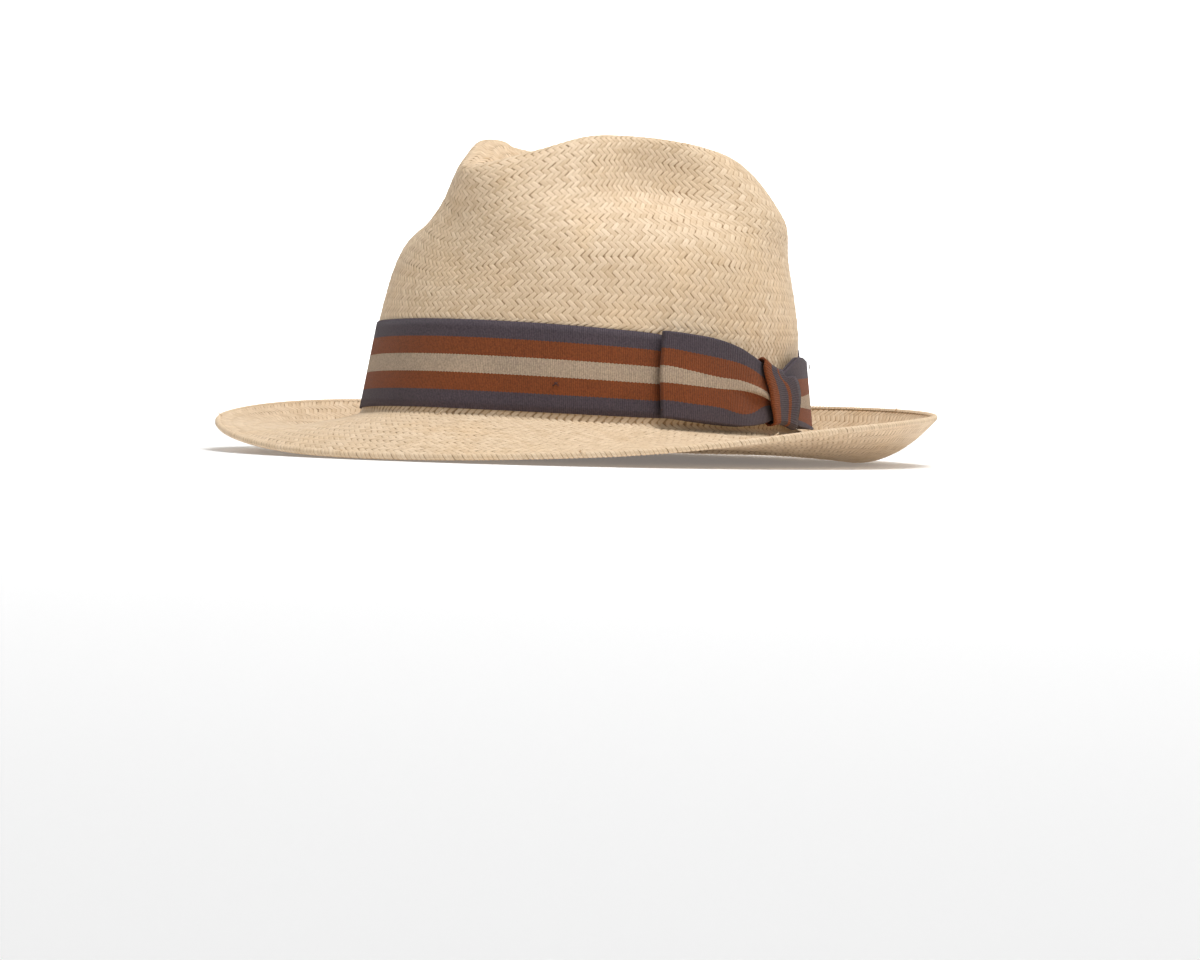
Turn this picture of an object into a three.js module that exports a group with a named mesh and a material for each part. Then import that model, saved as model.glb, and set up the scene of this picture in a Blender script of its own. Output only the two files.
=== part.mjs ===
// A woven straw trilby lying brim down, with a striped ribbon round the crown and a flat bow on its side.
// Millimetres, +Z up, the front of the hat towards -Y and the wearer's left towards +X.
// The hat is shaped in its own level frame, then turned to the tilt at which it lies on a flat surface.
import * as THREE from 'three';

// Size of the head opening, inside the straw, and of the woven wall
const HEAD_LENGTH = 202;
const HEAD_WIDTH = 165;
const STRAW = 1.6;
const ROPE_EDGE = 2.4;

// Crown: height of its ridge, floor of the centre dent, and the rounded foot where it meets the brim
const CROWN_HEIGHT = 119;
const DENT_FLOOR = 92;
const FOOT_RADIUS = 2.5;
const SIDE_DIP = 3;

// Brim
const BRIM_WIDTH = 60;

// Ribbon, its clearance to what it lies on, and the bow
const RIBBON_WIDTH = 37;
const RIBBON = 1;
const CLEARANCE = 0.3;
const KNOT_DIRECTION = 107;
const FRONT_LOOP = 71.5;
const REAR_LOOP = 40;
const BOW_PUFF = 8;
const FOLD_SLANT = 2;
const KNOT_TUCK = 2.5;
const KNOT_ROUND = 0.6;

// Pleat in the bow's front loop: how far it stands out, and the height of its fold, the softness of that
// fold and its reach as shares of half the ribbon's width
const PLEAT = 1.2;
const PLEAT_HEIGHT = -0.224;
const PLEAT_EDGE = 0.048;
const PLEAT_REACH = 0.6;

// How the hat lies, in degrees: tipped back and a little to the wearer's right
const REST_PITCH = 0.85;
const REST_LEAN = 0.2;

// Fineness of the facets
const COLUMNS = 64;
const BOW_COLUMNS = 48;
const KNOT_COLUMNS = 28;

// Rows of facets: over the crown by its t, over the brim by share, and round the rope edge in degrees,
// and the share of a flat ribbon loop's columns that lie along each of its two runs
const CROWN_ROWS = [4.6, 4.2, 3.75, 3.35, 3.12, 2.9, 2.65, 2.35, 2, 1.65, 1.3, 1, 0.65, 0.3, 0];
const BRIM_ROWS = [0.12, 0.26, 0.4, 0.54, 0.68, 0.82, 0.94];
const EDGE_TURNS = [130, 80, 30, -30, -80, -130];
const RUN_PART = 0.375;

// Crown sections right round the hat, from the front (0 degrees) by the wearer's left (90).
// lean is in degrees; mid, upper and ridge are shares of the opening's radius, and height is a share of
// CROWN_HEIGHT.
const crownSections = [
  { at: 0, lean: 13, mid: 0.828, upper: 0.75, ridge: 0.71, height: 0.869 },
  { at: 22.5, lean: 12, mid: 0.836, upper: 0.765, ridge: 0.58, height: 0.928 },
  { at: 45, lean: 9, mid: 0.84, upper: 0.655, ridge: 0.51, height: 0.985 },
  { at: 67.5, lean: 7, mid: 0.846, upper: 0.56, ridge: 0.469, height: 0.999 },
  { at: 90, lean: 5, mid: 0.88, upper: 0.605, ridge: 0.55, height: 0.992 },
  { at: 112.5, lean: 2.5, mid: 0.897, upper: 0.82, ridge: 0.607, height: 0.977 },
  { at: 135, lean: 0, mid: 0.941, upper: 0.903, ridge: 0.65, height: 0.958 },
  { at: 157.5, lean: 1, mid: 0.97, upper: 0.89, ridge: 0.695, height: 0.933 },
  { at: 180, lean: 3, mid: 0.963, upper: 0.915, ridge: 0.729, height: 0.908 },
  { at: 202.5, lean: 1, mid: 0.97, upper: 0.89, ridge: 0.695, height: 0.933 },
  { at: 225, lean: 0, mid: 0.941, upper: 0.903, ridge: 0.65, height: 0.958 },
  { at: 247.5, lean: 2.5, mid: 0.897, upper: 0.82, ridge: 0.607, height: 0.977 },
  { at: 270, lean: 5, mid: 0.871, upper: 0.639, ridge: 0.56, height: 0.992 },
  { at: 292.5, lean: 7, mid: 0.837, upper: 0.546, ridge: 0.469, height: 0.999 },
  { at: 315, lean: 9, mid: 0.822, upper: 0.54, ridge: 0.504, height: 0.985 },
  { at: 337.5, lean: 12, mid: 0.824, upper: 0.705, ridge: 0.566, height: 0.928 },
];

// Heights of the mid and upper rows, and the slope into the centre dent, as shares
const MID_LEVEL = 0.62;
const UPPER_LEVEL = 0.8;
const DENT_SLOPE = 0.6;
const DENT_REACH = 0.5;

// The brim round the hat, from the front by the wearer's left, as shares of BRIM_WIDTH:
// how far its edge rises, and how deep it hangs halfway out
const brimSections = [
  { at: 0, rise: -0.257, hang: 0.108 },
  { at: 45, rise: -0.208, hang: 0.125 },
  { at: 90, rise: 0.007, hang: 0.15 },
  { at: 135, rise: 0.123, hang: 0.205 },
  { at: 180, rise: 0.163, hang: 0.185 },
  { at: 225, rise: 0.085, hang: 0.2 },
  { at: 270, rise: 0.093, hang: 0.15 },
  { at: 315, rise: -0.047, hang: 0.117 },
];

// The bow along its length, from its front fold to its rear fold. outer and inner are stand-offs as
// shares of BOW_PUFF, top and bottom are shares of half the ribbon's width, and flare opens the lower
// edge more.
const bowSections = [
  { share: 0, outer: 0.34, inner: 0.17, top: 0.97, bottom: -0.95, pleat: 0, flare: 0 },
  { share: 0.12, outer: 0.42, inner: 0.06, top: 0.93, bottom: -0.99, pleat: 0, flare: 0 },
  { share: 0.24, outer: 0.46, inner: 0, top: 0.86, bottom: -1.03, pleat: 0, flare: 0 },
  { share: 0.35, outer: 0.48, inner: 0.04, top: 0.71, bottom: -1.05, pleat: 0.2, flare: 0 },
  { share: 0.42, outer: 0.48, inner: 0.12, top: 0.55, bottom: -1.03, pleat: 0.8, flare: 0 },
  { share: 0.49, outer: 0.46, inner: 0.165, top: 0.37, bottom: -0.97, pleat: 1, flare: 0 },
  { share: 0.54, outer: 0.42, inner: 0.165, top: 0.25, bottom: -0.9, pleat: 0.8, flare: 0 },
  { share: 0.64, outer: 0.34, inner: 0.165, top: 0.18, bottom: -0.88, pleat: 0.2, flare: 0 },
  { share: 0.73, outer: 0.38, inner: 0.165, top: 0.4, bottom: -0.96, pleat: 0, flare: 0.05 },
  { share: 0.82, outer: 0.46, inner: 0.165, top: 0.56, bottom: -1.05, pleat: 0, flare: 0.2 },
  { share: 1, outer: 0.5, inner: 0, top: 0.47, bottom: -1.11, pleat: 0, flare: 0.5 },
];

// The knot from its top to its bottom: its middle and its width, as shares of the ribbon's width
const knotSections = [
  { share: 0, middle: -0.28, width: 0.45 },
  { share: 0.1, middle: -0.24, width: 0.57 },
  { share: 0.22, middle: -0.115, width: 0.78 },
  { share: 0.45, middle: -0.01, width: 0.83 },
  { share: 0.66, middle: 0.01, width: 0.81 },
  { share: 1, middle: -0.005, width: 0.67 },
];

// The band's edges, gathered in behind the bow, as shares of half the ribbon's width
const bandGather = [
  { share: -0.9, top: 1, bottom: -1 },
  { share: -0.1, top: 0.95, bottom: -0.95 },
  { share: 0.1, top: 0.86, bottom: -0.93 },
  { share: 0.35, top: 0.6, bottom: -0.93 },
  { share: 0.45, top: 0.38, bottom: -0.9 },
  { share: 0.54, top: 0.22, bottom: -0.85 },
  { share: 0.64, top: 0.16, bottom: -0.83 },
  { share: 0.82, top: 0.36, bottom: -0.85 },
  { share: 1, top: 0.36, bottom: -0.93 },
  { share: 1.2, top: 0.8, bottom: -0.95 },
  { share: 1.45, top: 1, bottom: -1 },
];

const outerLength = HEAD_LENGTH / 2 + STRAW;
const outerWidth = HEAD_WIDTH / 2 + STRAW;
const radians = THREE.MathUtils.degToRad;

// Catmull-Rom between the two middle values
function between(before, from, to, after, f) {
  const bend = 2 * before - 5 * from + 4 * to - after;
  const twist = 3 * from - before - 3 * to + after;
  return 0.5 * (2 * from + (to - before) * f + bend * f * f + twist * f ** 3);
}

// One column of a table whose rows go right round the hat in equal steps
function roundHat(table, column, angle) {
  const step = (2 * Math.PI) / table.length;
  const turn = ((angle / step) % table.length + table.length) % table.length;
  const i = Math.floor(turn);
  const [a, b, c, d] = [-1, 0, 1, 2].map((k) => table[(i + k + table.length) % table.length][column]);
  return between(a, b, c, d, turn - i);
}

// The slope of a table's column at a row, from the rows on both sides; none at its ends
function slopeAt(table, column, i) {
  if (i === 0 || i === table.length - 1) return 0;
  return (table[i + 1][column] - table[i - 1][column]) / (table[i + 1].share - table[i - 1].share);
}

// One column of a table whose rows run along a share, on a smooth curve through its rows
function along(table, column, share) {
  const last = table.length - 2;
  const held = Math.min(Math.max(share, table[0].share), table[last + 1].share);
  const found = table.findIndex((row) => row.share > held) - 1;
  const i = found < 0 ? last : found;
  const step = table[i + 1].share - table[i].share;
  const f = (held - table[i].share) / step;
  const g = 1 - f;
  const level = table[i][column] * (1 + 2 * f) * g * g + table[i + 1][column] * f * f * (3 - 2 * f);
  const start = slopeAt(table, column, i) * f * g * g;
  const end = slopeAt(table, column, i + 1) * f * f * g;
  return level + step * (start - end);
}

// A point of the head opening's oval outside the straw, and the level direction away from it
const oval = (angle) => new THREE.Vector3(outerWidth * Math.sin(angle), -outerLength * Math.cos(angle), 0);
const away = (angle) =>
  new THREE.Vector3(Math.sin(angle) / outerWidth, -Math.cos(angle) / outerLength, 0).normalize();

// Height at which the crown meets the brim: it dips at the sides
const breakHeight = (angle) => -SIDE_DIP * Math.sin(angle) ** 2;

// The straight wall that the ribbon lies on, share 0 at its foot and 1 at the ribbon's top
function wallPoint(angle, share) {
  const lean = radians(roundHat(crownSections, 'lean', angle));
  const length = RIBBON_WIDTH + 1;
  const rise = breakHeight(angle) + FOOT_RADIUS + share * length * Math.cos(lean);
  return oval(angle).addScaledVector(away(angle), -share * length * Math.sin(lean)).setZ(rise);
}

// The crown above the ribbon: t runs 0 at the ribbon's top, 1 mid, 2 upper, 3 ridge, 4 dent slope, 5 centre
function crownPoint(angle, t) {
  const base = oval(angle);
  const foot = wallPoint(angle, 0);
  const top = wallPoint(angle, 1);
  const height = CROWN_HEIGHT * roundHat(crownSections, 'height', angle);
  const ridge = roundHat(crownSections, 'ridge', angle);
  const rows = [
    [1, foot.z],
    [Math.hypot(top.x, top.y) / base.length(), top.z],
    [roundHat(crownSections, 'mid', angle), MID_LEVEL * height],
    [roundHat(crownSections, 'upper', angle), UPPER_LEVEL * height],
    [ridge, height],
    [ridge * DENT_REACH, height - DENT_SLOPE * (height - DENT_FLOOR)],
    [0, DENT_FLOOR],
    [-ridge * DENT_REACH, height - DENT_SLOPE * (height - DENT_FLOOR)],
  ];
  const i = Math.min(Math.floor(t), rows.length - 4);
  const [share, z] = [0, 1].map((k) =>
    between(rows[i][k], rows[i + 1][k], rows[i + 2][k], rows[i + 3][k], t - i));
  return base.multiplyScalar(share).setZ(z);
}

// The brim's upper face: share 0 at the foot of the crown, 1 at the middle of its rope edge.
// Its section is the parabola through its foot, its middle and its edge.
function brimPoint(angle, share) {
  const rise = BRIM_WIDTH * roundHat(brimSections, 'rise', angle);
  const hang = BRIM_WIDTH * roundHat(brimSections, 'hang', angle);
  const height = breakHeight(angle) * (1 - share) * (1 - 2 * share)
    - hang * 4 * share * (1 - share) + rise * share * (2 * share - 1);
  const out = FOOT_RADIUS + share * (BRIM_WIDTH - FOOT_RADIUS);
  return oval(angle).addScaledVector(away(angle), out).setZ(height);
}

// The rounded foot between wall and brim, turn 0 at the wall and 1 at the brim
function footPoint(angle, turn) {
  const sweep = turn * Math.PI / 2;
  return oval(angle).addScaledVector(away(angle), FOOT_RADIUS * (1 - Math.cos(sweep)))
    .setZ(breakHeight(angle) + FOOT_RADIUS * (1 - Math.sin(sweep)));
}

// Rows of the upper face from the centre of the crown to just short of the rope edge
const faceRows = [
  ...CROWN_ROWS.map((t) => (angle) => crownPoint(angle, t)),
  (angle) => wallPoint(angle, 0.5),
  (angle) => footPoint(angle, 0),
  (angle) => footPoint(angle, 0.5),
  (angle) => footPoint(angle, 1),
  ...BRIM_ROWS.map((share) => (angle) => brimPoint(angle, share)),
];

// The upper face's outward direction, from its neighbours along the row and across it
function faceNormal(row, angle) {
  const step = Math.PI / COLUMNS;
  const beyond = (i, a) => (i < 0 ? crownPoint(a, 5) : brimPoint(a, 1));
  const place = (i, a) => (faceRows[i] ? faceRows[i](a) : beyond(i, a));
  const sideways = place(row, angle + step).sub(place(row, angle - step));
  const outwards = place(row + 1, angle).sub(place(row - 1, angle));
  return outwards.cross(sideways).normalize();
}

// Rope edge: a point of its section, in a direction above or below the level
function edgePoint(angle, turn) {
  const out = away(angle).multiplyScalar((ROPE_EDGE / 2) * Math.cos(radians(turn)));
  const middle = brimPoint(angle, 1);
  middle.z -= STRAW / 2;
  return middle.add(out).add(new THREE.Vector3(0, 0, (ROPE_EDGE / 2) * Math.sin(radians(turn))));
}

// A closed grid turned on a lathe, whose vertices are then moved to where place says.
// Column angles run 0 to 2 pi; an open profile starts and ends on the axis, a closed one joins up.
function shapedLathe(rows, columns, isRing, place) {
  const profile = [];
  for (let j = 0; j < rows; j++) {
    const turn = (2 * Math.PI * j) / (isRing ? rows - 1 : rows);
    const onAxis = !isRing && (j === 0 || j === rows - 1);
    profile.push(new THREE.Vector2(onAxis ? 0 : 2 + Math.cos(turn), Math.sin(turn)));
  }
  const geometry = new THREE.LatheGeometry(profile, columns);
  const position = geometry.getAttribute('position');
  for (let i = 0; i <= columns; i++) {
    const angle = (2 * Math.PI * (i % columns)) / columns;
    for (let j = 0; j < rows; j++) {
      const point = place(angle, isRing ? j % (rows - 1) : j);
      position.setXYZ(i * rows + j, point.x, point.y, point.z);
    }
  }
  geometry.computeVertexNormals();
  return geometry;
}

// Crown and brim: one woven shell, from the inside of the crown's centre round the edge to its outside
function strawGeometry() {
  const faces = faceRows.length;
  const edges = [...EDGE_TURNS].reverse();
  const last = 2 * faces + edges.length + 1;
  const place = (angle, j) => {
    if (j === 0) return new THREE.Vector3(0, 0, DENT_FLOOR - STRAW);
    if (j === last) return new THREE.Vector3(0, 0, DENT_FLOOR);
    if (j <= faces) return faceRows[j - 1](angle).addScaledVector(faceNormal(j - 1, angle), -STRAW);
    if (j <= faces + edges.length) return edgePoint(angle, edges[j - faces - 1]);
    return faceRows[last - 1 - j](angle);
  };
  return shapedLathe(last + 1, COLUMNS, false, place);
}

// A point above the wall: up is measured along the wall from the ribbon's middle, off away from the straw
function onWall(angle, up, off) {
  const share = 0.5 + up / (RIBBON_WIDTH + 1);
  const step = 0.01;
  const point = wallPoint(angle, share);
  const upwards = wallPoint(angle, 1).sub(wallPoint(angle, 0));
  const sideways = wallPoint(angle + step, share).sub(wallPoint(angle - step, share));
  return point.addScaledVector(sideways.cross(upwards).normalize(), off);
}

// Angle reached by going a distance round the crown's wall from another angle
function angleAfter(start, distance) {
  const steps = 60;
  let angle = start;
  for (let i = 0; i < steps; i++) {
    const pace = Math.hypot(outerWidth * Math.cos(angle), outerLength * Math.sin(angle));
    angle += distance / steps / pace;
  }
  return angle;
}

// Where the bow's layers start: on the band with a clearance
const onBand = 2 * CLEARANCE + RIBBON + RIBBON / 2;
const knotAngle = radians(KNOT_DIRECTION);
const bowLength = FRONT_LOOP + REAR_LOOP;

// The band's lower or upper edge at an angle, up from its middle
function bandEdge(angle, column) {
  const start = angleAfter(knotAngle, -FRONT_LOOP);
  const end = angleAfter(knotAngle, REAR_LOOP);
  return (along(bandGather, column, (angle - start) / (end - start)) * RIBBON_WIDTH) / 2;
}

// Ribbon band: a ring with a thin section, its four corners and the middles of its faces
function bandGeometry() {
  const section = [[-1, 0], [-1, 1], [0, 1], [1, 1], [1, 0], [0, 0]];
  const place = (angle, j) => {
    const [height, side] = section[j];
    const low = bandEdge(angle, 'bottom');
    const up = low + ((height + 1) / 2) * (bandEdge(angle, 'top') - low);
    return onWall(angle, up, CLEARANCE + side * RIBBON);
  };
  return shapedLathe(section.length + 1, COLUMNS, true, place);
}

// Where a turn lies on a flat loop: its share of the length, its side (1 outer, -1 inner),
// and how far it is past the loop's end, in half thicknesses of the loop
function loopPlace(turn) {
  const whole = (turn / (2 * Math.PI) + 1) % 1;
  const [half, f] = whole < 0.5 ? [1, whole] : [-1, whole - 0.5];
  if (f < RUN_PART) {
    const share = f / RUN_PART;
    return { share: half > 0 ? share : 1 - share, side: half, past: 0 };
  }
  const sweep = (Math.PI * (f - RUN_PART)) / (0.5 - RUN_PART);
  return { share: half > 0 ? 1 : 0, side: half * Math.cos(sweep), past: half * Math.sin(sweep) };
}

// How the pleat moves the ribbon at a height across it: out above its fold and in below it
function pleatFold(across) {
  const from = across - PLEAT_HEIGHT;
  return PLEAT * Math.tanh(from / PLEAT_EDGE) * Math.exp(-((from / PLEAT_REACH) ** 2));
}

// Middle of the bow's ribbon at a turn round the loop and a height across the ribbon
function bowPoint(turn, across) {
  const { share, side, past } = loopPlace(turn);
  const get = (column) => along(bowSections, column, share);
  const low = onBand + BOW_PUFF * get('inner');
  const high = onBand + BOW_PUFF * get('outer') * (1 - get('flare') * across);
  const bulge = side > 0 ? get('pleat') * pleatFold(across) : 0;
  const up = ((get('bottom') + ((across + 1) / 2) * (get('top') - get('bottom'))) * RIBBON_WIDTH) / 2;
  const slant = FOLD_SLANT * Math.max(across, 0) * Math.max(1 - 4 * share, 0);
  const angle = angleAfter(knotAngle, share * bowLength - FRONT_LOOP + (past * (high - low)) / 2 + slant);
  return onWall(angle, up, (low + high) / 2 + (side * (high - low)) / 2 + bulge);
}

// A ribbon of some thickness moved round a loop: middle gives its middle line at a turn and an across value
function ribbonLoop(columns, crossings, middle) {
  const section = [...crossings.map((c) => [c, 0.5]), ...[...crossings].reverse().map((c) => [c, -0.5])];
  const step = Math.PI / columns / 4;
  const place = (angle, j) => {
    const [across, side] = section[j];
    const turn = angle + Math.PI / columns;
    const forward = middle(turn + step, across).sub(middle(turn - step, across));
    const sideways = middle(turn, 1).sub(middle(turn, -1));
    return middle(turn, across).addScaledVector(forward.cross(sideways).normalize(), side * RIBBON);
  };
  return shapedLathe(section.length + 1, columns, true, place);
}

const bowGeometry = () => ribbonLoop(BOW_COLUMNS, [-1, -0.55, -0.3, -0.15, 0.3, 1], bowPoint);

// Knot: a short wrap of ribbon round the middle of the bow, clear of both its layers.
// Its middle at a turn round the bow, across is -1 to 1 over its width.
function knotPoint(turn, across) {
  const { share, side, past } = loopPlace(turn);
  const width = along(knotSections, 'width', share);
  const middle = along(knotSections, 'middle', share);
  const reach = RIBBON_WIDTH * (middle + (width * across) / 2) + (KNOT_TUCK * (1 - side)) / 2;
  const bow = (column) => along(bowSections, column, (reach + FRONT_LOOP) / bowLength);
  const depth = (BOW_PUFF * bow('outer') + PLEAT * bow('pleat') + RIBBON + CLEARANCE) / 2;
  const upper = (RIBBON_WIDTH / 2) * bow('top') + CLEARANCE;
  const lower = (RIBBON_WIDTH / 2) * bow('bottom') - CLEARANCE;
  const up = upper + share * (lower - upper) - past * depth * KNOT_ROUND;
  return onWall(angleAfter(knotAngle, reach), up, onBand + depth + side * depth);
}

const knotGeometry = () => ribbonLoop(KNOT_COLUMNS, [-1, -0.33, 0.33, 1], knotPoint);

const straw = new THREE.MeshStandardMaterial({ color: 0xe6cfa6, roughness: 0.75, metalness: 0 });
const ribbon = new THREE.MeshStandardMaterial({ color: 0x9a5330, roughness: 0.9, metalness: 0 });
const ribbonGrey = new THREE.MeshStandardMaterial({ color: 0x5c5259, roughness: 0.9, metalness: 0 });
const knotGrey = new THREE.MeshStandardMaterial({ color: 0x63545a, roughness: 0.9, metalness: 0 });

function piece(name, geometry, material) {
  const mesh = new THREE.Mesh(geometry, material);
  mesh.name = name;
  return mesh;
}

const level = new THREE.Group();
level.add(
  piece('straw_body', strawGeometry(), straw),
  piece('ribbon_band', bandGeometry(), ribbonGrey),
  piece('bow', bowGeometry(), ribbon),
  piece('bow_knot', knotGeometry(), knotGrey),
);
level.rotation.set(-radians(REST_PITCH), -radians(REST_LEAN), 0);

// The hat stands on the level z = 0 with the middle of its box over the origin
const hat = new THREE.Group();
hat.add(level);
const box = new THREE.Box3().setFromObject(hat, true);
const middle = box.getCenter(new THREE.Vector3());
level.position.set(-middle.x, -middle.y, -box.min.z);

export default hat;
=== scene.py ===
"""A woven straw trilby with a striped ribbon and a flat side bow, laid out as a Blender add-on."""
import math

import bmesh
import bpy
import numpy as np
from mathutils import Matrix, Vector


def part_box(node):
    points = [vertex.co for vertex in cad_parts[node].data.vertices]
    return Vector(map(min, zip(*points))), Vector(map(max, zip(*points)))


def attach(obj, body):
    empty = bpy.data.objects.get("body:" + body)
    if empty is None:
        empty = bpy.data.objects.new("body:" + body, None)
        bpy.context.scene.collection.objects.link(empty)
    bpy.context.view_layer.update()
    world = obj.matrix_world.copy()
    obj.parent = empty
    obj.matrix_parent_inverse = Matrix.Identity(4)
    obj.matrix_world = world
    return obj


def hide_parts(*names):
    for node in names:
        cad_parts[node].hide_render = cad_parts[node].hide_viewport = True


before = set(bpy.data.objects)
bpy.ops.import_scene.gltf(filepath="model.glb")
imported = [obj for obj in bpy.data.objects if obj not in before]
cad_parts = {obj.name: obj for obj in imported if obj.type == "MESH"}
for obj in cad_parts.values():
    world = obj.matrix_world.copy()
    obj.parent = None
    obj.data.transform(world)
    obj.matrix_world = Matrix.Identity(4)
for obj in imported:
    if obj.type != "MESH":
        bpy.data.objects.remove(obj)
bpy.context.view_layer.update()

bl_info = {
    "name": "Straw Trilby",
    "version": (1, 0, 0),
    "blender": (4, 5, 0),
    "location": "View3D > Sidebar > Straw Trilby",
    "description": "Builds a woven straw hat with a striped ribbon and a flat bow",
    "category": "Object",
}

# Crown sections right round from the front by the wearer's left, in equal steps.
# lean is in degrees, the others are shares of the opening's radius or of the crown's height.
CROWN = {
    "lean": (13, 12, 9, 7, 5, 2.5, 0, 1, 3, 1, 0, 2.5, 5, 7, 9, 12),
    "mid": (0.828, 0.836, 0.84, 0.846, 0.88, 0.897, 0.941, 0.97, 0.963, 0.97, 0.941, 0.897, 0.871, 0.837,
        0.822, 0.824),
    "upper": (0.75, 0.765, 0.655, 0.56, 0.605, 0.82, 0.903, 0.89, 0.915, 0.89, 0.903, 0.82, 0.639, 0.546,
        0.54, 0.705),
    "ridge": (0.71, 0.58, 0.51, 0.469, 0.55, 0.607, 0.65, 0.695, 0.729, 0.695, 0.65, 0.607, 0.56, 0.469,
        0.504, 0.566),
    "height": (0.869, 0.928, 0.985, 0.999, 0.992, 0.977, 0.958, 0.933, 0.908, 0.933, 0.958, 0.977, 0.992,
        0.999, 0.985, 0.928),
}
MID_LEVEL = 0.62
UPPER_LEVEL = 0.8
DENT_SLOPE = 0.6
DENT_REACH = 0.5

# Brim sections right round from the front by the wearer's left, as shares of the brim's width
BRIM = {
    "rise": (-0.257, -0.208, 0.007, 0.123, 0.163, 0.085, 0.093, -0.047),
    "hang": (0.108, 0.125, 0.15, 0.205, 0.185, 0.2, 0.15, 0.117),
}

# The bow from its front fold to its rear fold. outer and inner are stand-offs as shares of its puff. top,
# bottom and the four edges of its stripes between them are shares of half the ribbon's width.
BOW = {
    "share": (0, 0.12, 0.24, 0.35, 0.42, 0.49, 0.54, 0.64, 0.73, 0.82, 1),
    "outer": (0.34, 0.42, 0.46, 0.48, 0.48, 0.46, 0.42, 0.34, 0.38, 0.46, 0.5),
    "inner": (0.17, 0.06, 0, 0.04, 0.12, 0.165, 0.165, 0.165, 0.165, 0.165, 0),
    "top": (0.97, 0.93, 0.86, 0.71, 0.55, 0.37, 0.25, 0.18, 0.4, 0.56, 0.47),
    "upper_grey": (0.59, 0.52, 0.44, 0.345, 0.225, 0.05, -0.05, -0.08, 0.02, 0.06, 0.08),
    "upper_rust": (0.2, 0.11, 0.01, -0.04, -0.13, -0.25, -0.36, -0.4, -0.38, -0.35, -0.28),
    "lower_beige": (-0.18, -0.21, -0.245, -0.25, -0.26, -0.33, -0.42, -0.48, -0.56, -0.6, -0.65),
    "lower_rust": (-0.57, -0.62, -0.67, -0.79, -0.75, -0.6, -0.56, -0.62, -0.82, -0.92, -1.05),
    "bottom": (-0.95, -0.99, -1.03, -1.05, -1.03, -0.97, -0.9, -0.88, -0.96, -1.05, -1.11),
    "pleat": (0, 0, 0, 0.2, 0.8, 1, 0.8, 0.2, 0, 0, 0),
    "flare": (0, 0, 0, 0, 0, 0, 0, 0, 0.05, 0.2, 0.5),
}
STRIPE_LINES = ("bottom", "lower_rust", "lower_beige", "upper_rust", "upper_grey", "top")

# The knot from its top to its bottom: its middle and its width, as shares of the ribbon's width
KNOT = {
    "share": (0, 0.1, 0.22, 0.45, 0.66, 1),
    "middle": (-0.28, -0.24, -0.115, -0.01, 0.01, -0.005),
    "width": (0.45, 0.57, 0.78, 0.83, 0.81, 0.67),
}

# The band's edges before and behind the bow, as shares of half the ribbon's width
GATHER = {
    "share": (-0.9, -0.1, 0.1, 0.35, 0.45, 0.54, 0.64, 0.82, 1, 1.2, 1.45),
    "top": (1, 0.95, 0.86, 0.6, 0.38, 0.22, 0.16, 0.36, 0.36, 0.8, 1),
    "bottom": (-1, -0.95, -0.93, -0.93, -0.9, -0.85, -0.83, -0.85, -0.93, -0.95, -1),
}

# Loose ends: on the ribbon they are stitches, on the straw they are stray ends of strands. angle, lean
# and lift are in degrees, place is a height up the ribbon in metres or a path value, off and size are in
# metres.
THREADS = {
    "on": ("ribbon",) * 4 + ("straw",) * 7,
    "angle": (40.3, 40.7, 66.0, 131.0, 9.5, 42.5, 6.5, 74, 158, 236, 318),
    "place": (-0.0064, -0.0064, -0.0146, 0.0065, 7.02, 7.985, 7.985, 7.98, 7.985, 7.98, 7.985),
    "off": (0.0016, 0.0016, 0.0056, 0.0056, 0.0002, 0.0005, 0.0005, 0.0004, 0.0004, 0.0004, 0.0004),
    "lean": (38, -38, 10, 88, 50, -60, -120, -50, -130, -70, -110),
    "lift": (0, 0, 0, 0, 35, 25, 30, 20, 25, 30, 20),
    "size": (0.0024, 0.0022, 0.0009, 0.0022, 0.0034, 0.003, 0.0028, 0.0026, 0.003, 0.0024, 0.0028),
}

# The camera of the photograph: place in metres, direction and roll in degrees, lens in millimetres
CAMERA_PLACE = (0.99102, -1.12613, 0.03381)
CAMERA_AZIMUTH = 41.011
CAMERA_ELEVATION = 1.673
CAMERA_ROLL = 1.533
CAMERA_LENS = 105.0
SENSOR_WIDTH = 36.0

# The lights: place, aim and size in metres, power in watts
LIGHTS = {
    "name": ("light_above", "light_backdrop", "light_right", "light_left"),
    "place": ((0.42, 0.14, 1.67), (-1.2, 1.3, 1.9), (1.7, 0.1, 1.0), (-0.3, -1.7, 1.0)),
    "aim": ((0, 0, 0.06), (-2.2, 2.6, 0.6), (0, 0, 0.06), (0, 0, 0.06)),
    "size": (0.95, 1.6, 1.0, 1.0),
    "power": (25.5, 100.0, 2.4, 2.6),
}
ROOM_LIGHT = 0.34
BACKDROP_GLOW = 0.14

# The backdrop: a floor that bends up into a wall, in metres
BACKDROP_SIZE = 8.0
BACKDROP_REACH = 2.4
BACKDROP_BEND = 1.2
BACKDROP_DROP = 0.0006

# Path values over the upper face: the ribbon's top, the foot of the wall, the brim's start and its edge
AT_TOP, AT_FOOT, AT_BRIM, AT_EDGE = 5, 6, 7, 8

# How finely the upper face, the wall's girth and the rope edge are measured
PATH_STEPS = 801
PATH_ANGLES = 24
ARC_STEPS = 4001
ROPE_ANGLES = 64
GIRTH_MARGIN = 1.003
NORMAL_STEP = 0.02
SIDE_STEP = 0.01

# Where the weaves meet: distances from the crown's centre and short of the brim's edge in metres, the
# others as path values
WEAVE_START = 0.002
BRIM_WEAVE_MARGIN = 0.0004
BAND_WEAVE_START = 5.06
BRIM_WEAVE_START = 6.3
INSIDE_WEAVE_END = 6.6

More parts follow.
